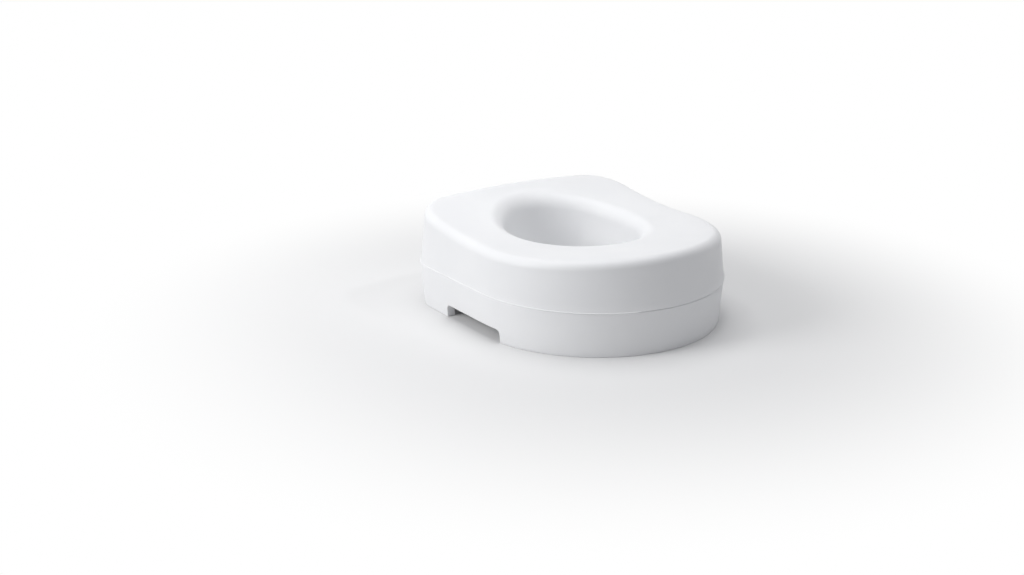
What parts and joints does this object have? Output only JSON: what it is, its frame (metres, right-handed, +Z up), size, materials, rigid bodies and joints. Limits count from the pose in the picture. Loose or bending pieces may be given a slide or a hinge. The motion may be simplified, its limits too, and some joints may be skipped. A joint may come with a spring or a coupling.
{
  "type": "raised toilet seat",
  "caption": "Raised toilet seat: a contoured ring seat with a rolled edge on a deep skirt that caps the bowl rim, with rubber rim pads and side hand notches.",
  "frame": {"origin": "under the middle of the outline, on the plane of the skirt's lower edge", "axes": "+Z up, -Y towards the front, +X to the right as seen from the front"},
  "size_m": [0.385, 0.422, 0.153],
  "materials": {
    "seat_plastic": "white moulded plastic with a soft gloss",
    "base_plastic": "white moulded plastic with a soft gloss",
    "pad_rubber": "dull dark grey rubber",
    "screw_steel": "plain zinc-plated steel"
  },
  "bodies": {
    "root": {"seat_shell": "seat_plastic", "base_shell": "base_plastic", "front_left_pad": "pad_rubber", "front_right_pad": "pad_rubber", "rear_left_pad": "pad_rubber", "rear_right_pad": "pad_rubber", "shell_screws": "screw_steel"}
  },
  "joints": []
}
